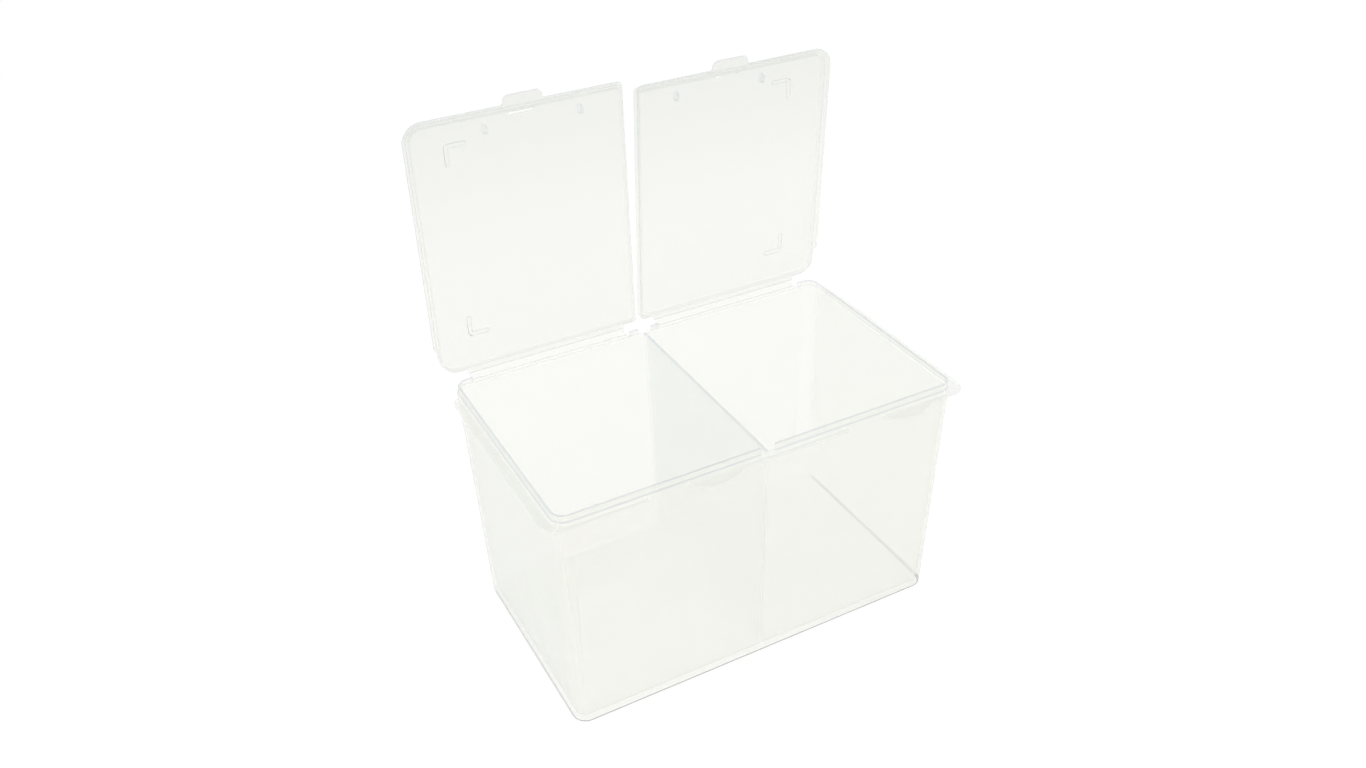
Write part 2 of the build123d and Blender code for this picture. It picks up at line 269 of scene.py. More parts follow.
def bead(name, x0, x1, root, tip, z0, z1):
    """Rounded bead along X, standing from a wall at root out to tip."""
    mid_z, sunk = (z0 + z1) / 2, root + 0.4 * MM
    curve = [(root + (tip - root) * math.cos(a), mid_z + (z1 - z0) / 2 * math.sin(a))
             for a in angles(-60, 60, 6)]
    outline = [(sunk, z0), (root, z0)] + curve + [(root, z1), (sunk, z1)]
    return bar(name, outline, x0, x1, ease=1.0 * MM)


def boolean(ob, tools, mode):
    """Joins (or cuts) the tools into ob, leaving one clean solid."""
    for tool in tools:
        mod = ob.modifiers.new("b", "BOOLEAN")
        mod.operation = mode
        mod.solver = "EXACT"
        mod.object = tool
    bpy.context.view_layer.update()
    depsgraph = bpy.context.evaluated_depsgraph_get()
    mesh = bpy.data.meshes.new_from_object(ob.evaluated_get(depsgraph))
    ob.modifiers.clear()
    old = ob.data
    ob.data = mesh
    bpy.data.meshes.remove(old)
    for tool in tools:
        bpy.data.objects.remove(tool)
    bm = bmesh.new()
    bm.from_mesh(ob.data)
    clean(bm)
    loose = [v for v in bm.verts if not v.link_faces]
    bmesh.ops.delete(bm, geom=loose, context="VERTS")
    bm.to_mesh(ob.data)
    bm.free()


def finish_mesh(ob, name):
    """Smooth shading with flat areas kept flat."""
    ob.name = name
    ob.data.name = name
    ob.data.shade_smooth()
    ob.data.set_sharp_from_angle(angle=math.radians(38))
    normals = ob.modifiers.new("weighted_normals", "WEIGHTED_NORMAL")
    normals.keep_sharp = True
    normals.weight = 80


# ------------------------------------------------------------------ tub: shell, flange and lip
# A station is (kind, place, sign of x, sign of y): place is x or y along a straight side at
# the rim, or the angle round a corner. The signs are used at corners only.
def flange_reach(kind, place):
    """How far the flange stands out of the wall at a straight station."""
    if kind == "front":
        inside = min(abs(place - LATCH_X), abs(place + LATCH_X)) - NOTCH
        return eased(FLANGE_FRONT - HALF_Y, inside, 0.6 * MM)
    if kind == "back":                           # the hinge ledges
        inside = min(abs(place) - LEDGE_X0, LEDGE_X1 - abs(place))
        return eased(LEDGE_Y - HALF_Y, inside, 0.5 * MM)
    into_end = place - (FLANGE_END - FLANGE_END_R)
    if into_end <= 0:
        return FLANGE_X - HALF_X
    if into_end >= FLANGE_END_R:
        return 0.0
    round_x = math.sqrt(FLANGE_END_R ** 2 - into_end * into_end)
    return max(FLANGE_X - FLANGE_END_R + round_x - HALF_X, 0.0)


def lip_height(kind, place):
    if kind not in ("front", "back"):
        return LIP_H
    across = abs(place)
    inside = across - LIP_GAP
    if kind == "back":                           # a post near the middle, then the outer end
        if across < (POST_X1 + STRIP_X1) / 2:
            inside = min(inside, POST_X1 - across)
        else:
            inside = across - STRIP_X1
    return eased(LIP_H, inside, 0.6 * MM)


def tub_point(station, off, z):
    """Point off outside the wall's outer face (negative is inside) at height z."""
    kind, place, sign_x, sign_y = station
    down = max(0.0, 1.0 - z / RIM_Z)
    lean_x, lean_y = LEAN_X * down, LEAN_Y * down
    centre_x, centre_y = HALF_X - lean_x - CORNER_R, HALF_Y - lean_y - CORNER_R
    if kind == "front":
        return (place * centre_x / STRAIGHT_X, -(HALF_Y - lean_y + off), z)
    if kind == "back":
        return (place * centre_x / STRAIGHT_X, HALF_Y - lean_y + off, z)
    if kind == "right":
        return (HALF_X - lean_x + off, place * centre_y / STRAIGHT_Y, z)
    if kind == "left":
        return (-(HALF_X - lean_x + off), place * centre_y / STRAIGHT_Y, z)
    radius = CORNER_R + off
    return (sign_x * centre_x + radius * math.cos(place),
            sign_y * centre_y + radius * math.sin(place), z)


def flange_point(station, reach, off, z):
    """Point off outside the flange's outer edge (negative is within it)."""
    kind, place, sign_x, sign_y = station
    below = z < RIM_Z - FLANGE_EDGE_R
    if kind != "corner":
        least = 0.0 if below else -LIP_INSET + LIP_FILLET
        return tub_point(station, max(reach + off, least), z)
    if sign_y > 0:                               # no flange round the back corners
        return tub_point(station, 0.0 if below else off, z)
    radius = FLANGE_R + off
    return (sign_x * (FLANGE_X - FLANGE_R) + radius * math.cos(place),
            sign_y * (FLANGE_FRONT - FLANGE_R) + radius * math.sin(place), z)


def tub_section(station):
    kind, place, _, sign_y = station
    lip = lip_height(kind, place)
    if kind != "corner":
        reach = flange_reach(kind, place)
    else:
        reach = FLANGE_X - HALF_X if sign_y < 0 else 0.0
    top, under = RIM_Z + lip, RIM_Z - FLANGE_T
    floor_r, lip_r, edge_r = 2.4 * MM, 0.34 * MM, FLANGE_EDGE_R
    under_r, foot_r = 0.5 * MM, 1.4 * MM

    inside = arc(-WALL - floor_r, BASE_T + floor_r, floor_r, -90, 0, 5)
    inside += [(-WALL, BASE_T + floor_r + (RIM_Z - BASE_T - floor_r) * k)
               for k in (0.12, 0.3, 0.5, 0.7, 0.88)]
    inside += arc(-WALL + lip_r, top - lip_r, lip_r, 180, 90, 4)
    inside += [(off, max(z, RIM_Z))
               for off, z in arc(-LIP_INSET - lip_r, top - lip_r, lip_r, 90, 0, 4)]
    inside += [(off, RIM_Z + min(z, lip))
               for off, z in arc(-LIP_INSET + LIP_FILLET, LIP_FILLET, LIP_FILLET, 180, 270, 3)]

    edge = arc(-edge_r, RIM_Z - edge_r, edge_r, 90, 0, 4)
    edge += arc(-edge_r, under + edge_r, edge_r, 0, -90, 4)

    # set a hair lower, so that it stays apart from the flange's underside
    outside = [(min(off, max(reach - edge_r, 0.0)), z - 0.004 * MM)
               for off, z in arc(under_r, under - under_r, under_r, 90, 180, 4)]
    outside += [(0.0, foot_r + (under - foot_r) * k) for k in (0.9, 0.7, 0.5, 0.3, 0.1)]
    outside += arc(-foot_r, foot_r, foot_r, 0, -90, 5)
    return ([tub_point(station, off, z) for off, z in inside]
            + [flange_point(station, reach, off, z) for off, z in edge]
            + [tub_point(station, off, z) for off, z in outside])


def tub_stations():
    end_x, end_y = STRAIGHT_X - 0.5 * MM, STRAIGHT_Y - 0.5 * MM
    front_breaks = [s * b for s in (-1, 1)
                    for b in (LIP_GAP, LATCH_X - NOTCH, LATCH_X + NOTCH)]
    back_breaks = [s * b for s in (-1, 1) for b in (LIP_GAP, LEDGE_X0, POST_X1, LEDGE_X1)]
    front = places(-end_x, end_x, 7 * MM, front_breaks)
    back = places(-end_x, end_x, 9 * MM, back_breaks)
    side = set(places(-end_y, end_y, 12 * MM))
    for k in range(9):
        side.add(FLANGE_END - FLANGE_END_R * (1 - math.sin(math.radians(90 * k / 8))))
    # where the rounded end of the side flange meets the wall
    meet = math.sqrt(FLANGE_END_R ** 2 - (HALF_X - FLANGE_X + FLANGE_END_R) ** 2)
    side.add(FLANGE_END - FLANGE_END_R + meet)
    side = sorted(side)

    stations = []
    for kind, line, first, sign_x, sign_y in (
            ("front", front, -90, 1, -1), ("right", side, 0, 1, 1),
            ("back", back[::-1], 90, -1, 1), ("left", side[::-1], 180, -1, -1)):
        stations += [(kind, place, 0, 0) for place in line]
        stations += [("corner", a, sign_x, sign_y) for a in angles(first, first + 90, 12)]
    return stations


def build_divider():
    """Centre divider; its edges end inside the walls and the floor."""
    bm = bmesh.new()
    foot_z, neck = BASE_T - 0.7 * MM, 1.6 * MM
    mid_wall = WALL * 0.5
    rear = [(HALF_Y - LEAN_Y * (1 - foot_z / RIM_Z) - mid_wall, foot_z),
            (HALF_Y - LEAN_Y * neck / RIM_Z - mid_wall, RIM_Z - neck),
            (HALF_Y - WALL - 0.01 * MM, RIM_Z - 0.5 * MM),
            (HALF_Y - WALL - 0.25 * MM, DIVIDER_TOP)]
    front = [(-y, z) for y, z in rear]
    outline = front[:1] + rear + front[:0:-1]
    a = [bm.verts.new((-DIVIDER_T / 2, y, z)) for y, z in outline]
    b = [bm.verts.new((DIVIDER_T / 2, y, z)) for y, z in outline]
    n = len(outline)
    bm.faces.new(a)
    bm.faces.new(list(reversed(b)))
    for i in range(n):
        bm.faces.new((a[i], b[i], b[(i + 1) % n], a[(i + 1) % n]))
    face_out(bm)
    top = [e for e in bm.edges if all(v.co.z > DIVIDER_TOP - 1e-9 for v in e.verts)
           and abs(e.verts[0].co.x - e.verts[1].co.x) < 1e-9]
    round_edges(bm, top, 0.4 * MM)
    return to_object("divider", bm)


def build_tongue(side):
    """Thin tongue on the front wall, its free edge a shallow arc."""
    lo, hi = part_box(side + "_thumb_tongue")
    mid_x, half, reach, root = (lo.x + hi.x) / 2, (hi.x - lo.x) / 2, hi.y - lo.y, hi.y
    radius = (half * half + reach * reach) / (2 * reach)
    end = math.asin(half / radius)
    outline = [(mid_x - half, root + 1.0 * MM)]
    for i in range(29):
        a = -end + 2 * end * i / 28
        outline.append((mid_x + radius * math.sin(a), root - reach + radius - radius * math.cos(a)))
    outline.append((mid_x + half, root + 1.0 * MM))
    return plate("tongue", outline, lo.z + 0.05 * MM, hi.z - 0.05 * MM, edge_r=0.4 * MM)


# material slots of the tub; 0 is the shell
THIN, LIP_EDGES_PAINTED_SHADE, FLANGE_RIM_PAINTED_HIGHLIGHT, DIVIDER, FOOT_PAINTED_SHADE = 1, 2, 3, 4, 5


def tub_slot(centre, normal):
    x, y, z = abs(centre.x), abs(centre.y), centre.z
    outside = x > HALF_X + 0.05 * MM or y > HALF_Y + 0.05 * MM
    # painted highlight: the outer edge faces of the flange get a brighter tint
    if outside and RIM_Z - FLANGE_T - 0.4 * MM < z < RIM_Z + 0.02 * MM:
        return FLANGE_RIM_PAINTED_HIGHLIGHT if abs(normal.z) < 0.6 else THIN
    # painted shade: the divider's top edge gets a dark line
    if x < DIVIDER_T / 2 + 0.05 * MM and y < HALF_Y - WALL and z > BASE_T + 0.05 * MM:
        return LIP_EDGES_PAINTED_SHADE if z > DIVIDER_TOP - 0.42 * MM else DIVIDER
    # painted shade: dark lines along the top and the root of the lip
    lip_top = z > LIP_TOP - 0.36 * MM
    lip_root = z < RIM_Z + 0.56 * MM and abs(normal.z) > 0.1
    if z > RIM_Z + 0.02 * MM and x > 2 * MM and (lip_top or lip_root):
        return LIP_EDGES_PAINTED_SHADE
    # painted shade: a dark contact line on the rounded foot, except along the back wall
    if z < 1.3 * MM and 0.1 < abs(normal.z) < 0.98 and centre.y < HALF_Y - 12 * MM:
        return FOOT_PAINTED_SHADE
    return None


def build_tub():
    tub = grid_solid("tub", [tub_section(s) for s in tub_stations()])
    tools = [build_divider()]
    for side in SIDES:
        tools.append(build_tongue(side))
        lo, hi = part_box(side + "_catch_bead")
        tools.append(bead("catch", lo.x, hi.x, hi.y, lo.y, lo.z, hi.z))
    boolean(tub, tools, "UNION")
    for face in tub.data.polygons:
        slot = tub_slot(face.center, face.normal)
        if slot is not None:
            face.material_index = slot
    finish_mesh(tub, "tub_moulding")
    return tub


tub = build_tub()


# ------------------------------------------------------------------ lids
# Built shut in lid coordinates, then turned open. A station is (kind, place): place is x or
# the distance along a straight side, or the angle round a corner.
def brim_reach(kind, place):
    """How far the brim, finger tab or hinge strip stands out of the skirt."""
    if kind == "far":
        base = eased(BRIM_W, place - LID_X0, 3.0 * MM)
        across = abs(place - LATCH_X)
        if across <= TAB_HALF - TAB_TIP_R:
            return base + TAB_OUT
        if across <= TAB_HALF:
            run = across - TAB_HALF + TAB_TIP_R
            return base + TAB_OUT - TAB_TIP_R + math.sqrt(max(TAB_TIP_R ** 2 - run ** 2, 0))
        if across < TAB_HALF + TAB_ROOT_R:
            run = TAB_HALF + TAB_ROOT_R - across
            return base + TAB_ROOT_R - math.sqrt(max(TAB_ROOT_R ** 2 - run ** 2, 0))
        return base
    if kind == "outer":
        return max(eased(BRIM_W, place - BRIM_END, 2.0 * MM), 0.0)
    if kind == "near":
        inside = min(place - STRIP_X0, STRIP_X1 - place)
        return eased(LID_NEAR - STRIP_NEAR, inside, 0.5 * MM)
    if kind == "far_outer":
        return BRIM_W
    if kind == "far_inner":
        return BRIM_W * max(math.sin(place), 0.0) ** 3 * 0.94
    return 0.0


def lid_point(station, off, height):
    """Point off outside the skirt's outer face."""
    kind, place = station
    if kind == "far":
        return (place, LID_FAR + off, height)
    if kind == "outer":
        return (LID_X1 + off, place, height)
    if kind == "near":
        return (place, LID_NEAR - off, height)
    if kind == "inner":
        return (LID_X0 - off, place, height)
    centre_x, centre_d = CENTRES[kind]
    radius = LID_CORNERS[kind][2] + off
    return (centre_x + radius * math.cos(place), centre_d + radius * math.sin(place), height)


def lid_section(station):
    reach = brim_reach(*station)
    brim_top = LID_LOW + BRIM_T
    panel_r, low_r, foot_r, under_r = 0.7 * MM, 0.36 * MM, 0.25 * MM, 0.38 * MM
    top_r = min(low_r, reach)                    # brim's upper edge
    fillet = min(0.3 * MM, max(reach - top_r, 0.0))

    points = arc(-panel_r, PANEL_TOP - panel_r, panel_r, 90, 0, 5)
    points += [(0.0, brim_top + (PANEL_TOP - panel_r - LID_LOW - BRIM_T) * 0.5)]
    points += arc(fillet, brim_top + fillet, fillet, 180, 270, 3)
    points += arc(reach - top_r, brim_top - top_r, top_r, 90, 0, 4)
    points += arc(reach - low_r, LID_LOW + low_r, low_r, 0, -90, 4)
    points += arc(-SKIRT_T + foot_r, LID_LOW + foot_r, foot_r, -90, -180, 3)
    points += [(-SKIRT_T, LID_LOW + (PANEL_LOW - LID_LOW) * 0.5)]
    points += arc(-SKIRT_T - under_r, PANEL_LOW - under_r, under_r, 0, 90, 3)
    return [lid_point(station, off, height) for off, height in points]


def lid_stations():
    def between(first, second, axis, step, breaks=()):
        lo, hi = CENTRES[first][axis] + 0.3 * MM, CENTRES[second][axis] - 0.3 * MM
        return places(lo, hi, step, breaks)

    far = set(between("far_inner", "far_outer", 0, 7 * MM,
                      [LATCH_X - TAB_HALF, LATCH_X + TAB_HALF]))
    for sign in (-1, 1):                         # the tab's rounded corners and roots
        for k in range(11):
            a = math.radians(90 * k / 10)
            tip = TAB_HALF - TAB_TIP_R + TAB_TIP_R * math.sin(a) * 0.999
            root = TAB_HALF + TAB_ROOT_R - TAB_ROOT_R * math.sin(a) * 0.999
            far.add(LATCH_X + sign * tip)
            far.add(LATCH_X + sign * root)
    for away in (0.4, 0.9, 1.5, 2.2):
        far.add(CENTRES["far_inner"][0] + away * MM)
    outer = set(between("near_outer", "far_outer", 1, 12 * MM, [BRIM_END]))
    for away in (0.2, 0.5, 0.9, 1.4, 2.0):
        outer.add(BRIM_END + away * MM)
    near = between("near_inner", "near_outer", 0, 9 * MM, [STRIP_X0, STRIP_X1])
    inner = between("near_inner", "far_inner", 1, 14 * MM)

    stations = []
    for kind, line, corner, first, steps in (
            ("far", sorted(far), "far_outer", 90, 12),
            ("outer", sorted(outer, reverse=True), "near_outer", 0, 12),
            ("near", near[::-1], "near_inner", -90, 6),
            ("inner", inner, "far_inner", 180, 6)):
        stations += [(kind, place) for place in line]
        stations += [(corner, a) for a in angles(first, first - 90, steps)]
    return stations


def sweep_ridge(name, path, width, root_z, shoulder_z, top_z, edge_r):
    """Raised ridge of rounded section along a flat path, with half-round ends."""
    half = width / 2
    runs = [(Vector(q) - Vector(p)).normalized() for p, q in zip(path, path[1:])]
    quarter = [math.radians(90 * k / 6) for k in range(7)]
    first, last = Vector(path[0]), Vector(path[-1])
    # (centre, direction, width factor)
    spine = [(first - runs[0] * (half * math.cos(a)), runs[0], max(math.sin(a), 0.03))
             for a in quarter]
    for i in range(1, len(path) - 1):
        along = (runs[i - 1] + runs[i]).normalized()
        spine.append((Vector(path[i]), along, 1.0 / max(along.dot(runs[i]), 0.5)))
    spine += [(last + runs[-1] * (half * math.sin(a)), runs[-1], max(math.cos(a), 0.03))
              for a in quarter]
    bm = bmesh.new()
    rings = []
    rise = top_z - shoulder_z
    for centre, along, factor in spine:
        across = Vector((-along.y, along.x))
        hw = half * factor
        r = min(edge_r, hw * 0.9)
        section = [(-hw, root_z)]
        section += [(-hw + r - r * math.cos(a), shoulder_z + rise * math.sin(a))
                    for a in angles(0, 90, 4)]
        section += [(hw - r + r * math.sin(a), shoulder_z + rise * math.cos(a))
                    for a in angles(0, 90, 4)]
        section += [(hw, root_z)]
        rings.append([bm.verts.new((centre.x + across.x * u, centre.y + across.y * u, z))
                      for u, z in section])
    join_rings(bm, rings)
    cap_rings(bm, rings)
    bmesh.ops.remove_doubles(bm, verts=bm.verts, dist=1e-6)
    face_out(bm)
    return to_object(name, bm)


def build_mark(box, inward):
    """L-shaped ridge on the panel, bent at the lid's outer corner; inward is the sign of the
    distance in which its second leg runs."""
    width, bend_r = 2.3 * MM, 1.25 * MM
    h = width / 2
    leg_x, start_x = box.x1 - h, box.x0 + h
    line, end = (box.far - h, box.near + h) if inward < 0 else (box.near + h, box.far - h)
    path = [(start_x, line), (start_x + (leg_x - bend_r - box.x0 - h) * 0.5, line)]
    for a in angles(0, 90, 6):
        path.append((leg_x - bend_r + bend_r * math.sin(a),
                     line + inward * (bend_r - bend_r * math.cos(a))))
    path += [(leg_x, line + inward * bend_r + (end - line - inward * bend_r) * 0.5),
             (leg_x, end)]
    return sweep_ridge("mark", path, width, root_z=PANEL_TOP - 0.5 * MM,
                       shoulder_z=PANEL_TOP - 0.02 * MM, top_z=box.high, edge_r=0.62 * MM)


def build_rib(box):
    """Rib under the panel, running along X, with eased lower edges."""
    near, far, low, ease = box.near, box.far, box.low, 1.0 * MM
    top = PANEL_LOW + 0.4 * MM
    outline = [(near, top), (near, low + 0.9 * MM), (near + ease * 0.3, low + 0.3 * MM),
               (near + ease, low), (far - ease, low), (far - ease * 0.3, low + 0.3 * MM),
               (far, low + 0.9 * MM), (far, top)]
    return bar("rib", outline, box.x0, box.x1)


def build_slot_cutter():
    """Cutter for the small slot through the panel near the latch."""
    slot = lid_box([p for p in shut_points("panel")
                    if abs(p[0] - LATCH_X) < 7 * MM and 118 * MM < p[1] < 124 * MM])
    corners = [(slot.x0, slot.near), (slot.x1, slot.near),
               (slot.x1, slot.far), (slot.x0, slot.far)]
    return plate("slot", rounded(corners, (slot.far - slot.near) * 0.35),
                 PANEL_LOW - 1 * MM, PANEL_TOP + 1 * MM)


# material slots of a lid; 0 is the body
RIDGE_PAINTED_SHADE, RIDGE_PAINTED_DEEP_SHADE, SKIRT_EDGES_PAINTED_SHADE = 1, 2, 3


def near_box(box, point, margin):
    return (box.x0 - margin < point.x < box.x1 + margin
            and box.near - margin < point.y < box.far + margin)


def paint_lid(lid, marks, ribs, mirror):
    """Painted shade on the flanks of the small raised details, where they bend light away: all get a darker tint,
    and those of the marks that face
    -X in the CAD frame, or the lid's free edge, a darker one still; the skirt's lower edges get painted dark
    lines."""
    for face in lid.data.polygons:
        centre, normal = face.center, face.normal
        if abs(normal.z) < 0.965:
            if centre.z > PANEL_TOP + 0.01 * MM and any(
                    near_box(b, centre, 1 * MM) for b in marks):
                shaded = max(-mirror * normal.x, normal.y) > 0.25
                face.material_index = RIDGE_PAINTED_DEEP_SHADE if shaded else RIDGE_PAINTED_SHADE
            if centre.z < PANEL_LOW - 0.05 * MM and any(
                    near_box(b, centre, 0.5 * MM) for b in ribs):
                face.material_index = RIDGE_PAINTED_SHADE
        # painted shade: dark lines along the lower edges of the skirt
        if centre.z < LID_LOW + 0.32 * MM and abs(normal.z) < 0.92:
            face.material_index = SKIRT_EDGES_PAINTED_SHADE


def build_lid(side):
    mirror = 1 if side == "right" else -1
    lid = grid_solid("lid", [lid_section(s) for s in lid_stations()])
    marks = [lid_box(shut_points(part)) for part in ("front_mark", "rear_mark")]
    ribs = [lid_box(shut_points(part)) for part in ("outer_rib", "inner_rib")]
    snap = lid_box(shut_points("snap_bead"))
    tools = [build_mark(box, inward) for box, inward in zip(marks, (-1, 1))]
    tools += [build_rib(box) for box in ribs]
    tools.append(bead("snap", snap.x0, snap.x1, snap.far, snap.near, snap.low, snap.high))
    boolean(lid, tools, "UNION")
    boolean(lid, [build_slot_cutter()], "DIFFERENCE")
    paint_lid(lid, marks, ribs, mirror)
    # from lid coordinates to the shut place in the CAD frame, then open
    place = Matrix(((mirror, 0, 0, 0), (0, -1, 0, HINGE.y), (0, 0, 1, HINGE.z), (0, 0, 0, 1)))
    turn = (Matrix.Translation(HINGE) @ Matrix.Rotation(-math.radians(OPEN[side]), 4, "X")
            @ Matrix.Translation(-HINGE))
    lid.data.transform(turn @ place)
    bm = bmesh.new()
    bm.from_mesh(lid.data)
    face_out(bm)
    bm.to_mesh(lid.data)
    bm.free()
    finish_mesh(lid, side + "_lid_moulding")
    return lid


lids = {s: build_lid(s) for s in SIDES}


# ------------------------------------------------------------------ hinge strips
def build_film(side):
    """Thin curved web from the ledge to the lid, thicker where it leaves them.
    Returns it with the two ends of its bend."""
    mirror = 1 if side == "right" else -1
    opened = math.radians(OPEN[side])
    turn = math.pi - opened
    mid_z = -0.22 * MM                           # middle of the web, under the hinge line
    film_t, sunk = 0.42 * MM, 0.35 * MM          # sunk: run into the ledge and the lid
    lid_hit = (mid_z - (film_t / 2) * math.cos(opened)) / math.sin(opened)
    corner = -lid_hit * math.cos(opened) + (film_t / 2) * math.sin(opened)
    radius = (corner + (HINGE.y - LEDGE_Y)) / math.tan(turn / 2)
    centre_z = HINGE.z + mid_z + radius
    # middle line: (y, z, angle turned)
    line = [(LEDGE_Y - sunk, HINGE.z + mid_z, 0.0)]
    for i in range(17):
        a = turn * i / 16
        line.append((LEDGE_Y + radius * math.sin(a), centre_z - radius * math.cos(a), a))
    end_y, end_z, _ = line[-1]
    line.append((end_y + sunk * math.cos(turn), end_z + sunk * math.sin(turn), turn))

    x0, x1 = STRIP_X0, STRIP_X1
    xs = [x0, x0 + 0.15 * MM, x0 + 0.5 * MM]
    xs += [x0 + (x1 - x0) * k / 14 for k in range(1, 14)]
    xs += [x1 - 0.5 * MM, x1 - 0.15 * MM, x1]
    bm = bmesh.new()
    rings = []
    count = len(line)
    middle = (count - 1) / 2
    full_waist = 0.35 * MM                       # how far the strip's ends draw in
    for x in xs:
        inside = min(x - x0, x1 - x)
        waist = 0.0
        if inside < 0.01 * MM:
            waist = full_waist
        elif inside < 0.2 * MM:
            waist = 0.12 * MM
        outward = 1 if x > (x0 + x1) / 2 else -1
        ring = []
        for face in (-1, 1):
            for i in range(count)[::-face]:
                y, z, a = line[i]
                u = min(1.0, abs(i - middle) / middle)
                half_t = film_t * (0.5 + 0.55 * u ** 4) * (1.0 - 0.35 * (waist / full_waist))
                drawn_x = x - outward * waist * (1 - u ** 2)
                ring.append(bm.verts.new((mirror * drawn_x, y - face * half_t * math.sin(a),
                                          z + face * half_t * math.cos(a))))
        rings.append(ring)
    join_rings(bm, rings)
    size = len(rings[0])
    for ring in (rings[0], rings[-1]):
        for i in range(count - 1):
            bm.faces.new((ring[i], ring[i + 1], ring[size - 2 - i], ring[size - 1 - i]))
    face_out(bm)
    ob = to_object(side + "_hinge_strip", bm)
    ob.data.shade_smooth()
    return ob, (0, LEDGE_Y, HINGE.z + mid_z), (0, end_y, end_z)


films = {s: build_film(s) for s in SIDES}


# ------------------------------------------------------------------ materials
class Graph:
    """Adds shader nodes; an input is either a value or the socket that feeds it."""

    def __init__(self, tree):
        self.tree = tree

    def add(self, kind, at=(0, 0), inputs=None, out=0, **settings):
        """Adds a node and returns its output named (or numbered) out."""
        new = self.tree.nodes.new("ShaderNode" + kind)
        new.location = at
        for key, value in settings.items():
            setattr(new, key, value)
        for key, value in (inputs or {}).items():
            if isinstance(value, bpy.types.NodeSocket):
                self.tree.links.new(value, new.inputs[key])
            else:
                new.inputs[key].default_value = value
        return None if out is None else new.outputs[out]

    def mix_colours(self, factor, a, b, at=(0, 0), **settings):
        a, b = (c if isinstance(c, bpy.types.NodeSocket) else (*c, 1) for c in (a, b))
        return self.add("Mix", at, {"Factor": factor, "A": a, "B": b}, out="Result",
                        data_type="RGBA", **settings)

    def mix_shaders(self, factor, first, second, at=(0, 0)):
        return self.add("MixShader", at, {"Fac": factor, 1: first, 2: second})

    def remap(self, value, source, target, at=(0, 0), **settings):
        """Maps the range source to the range target."""
        return self.add("MapRange", at, {
            "Value": value, "From Min": source[0], "From Max": source[1],
            "To Min": target[0], "To Max": target[1]}, **settings)


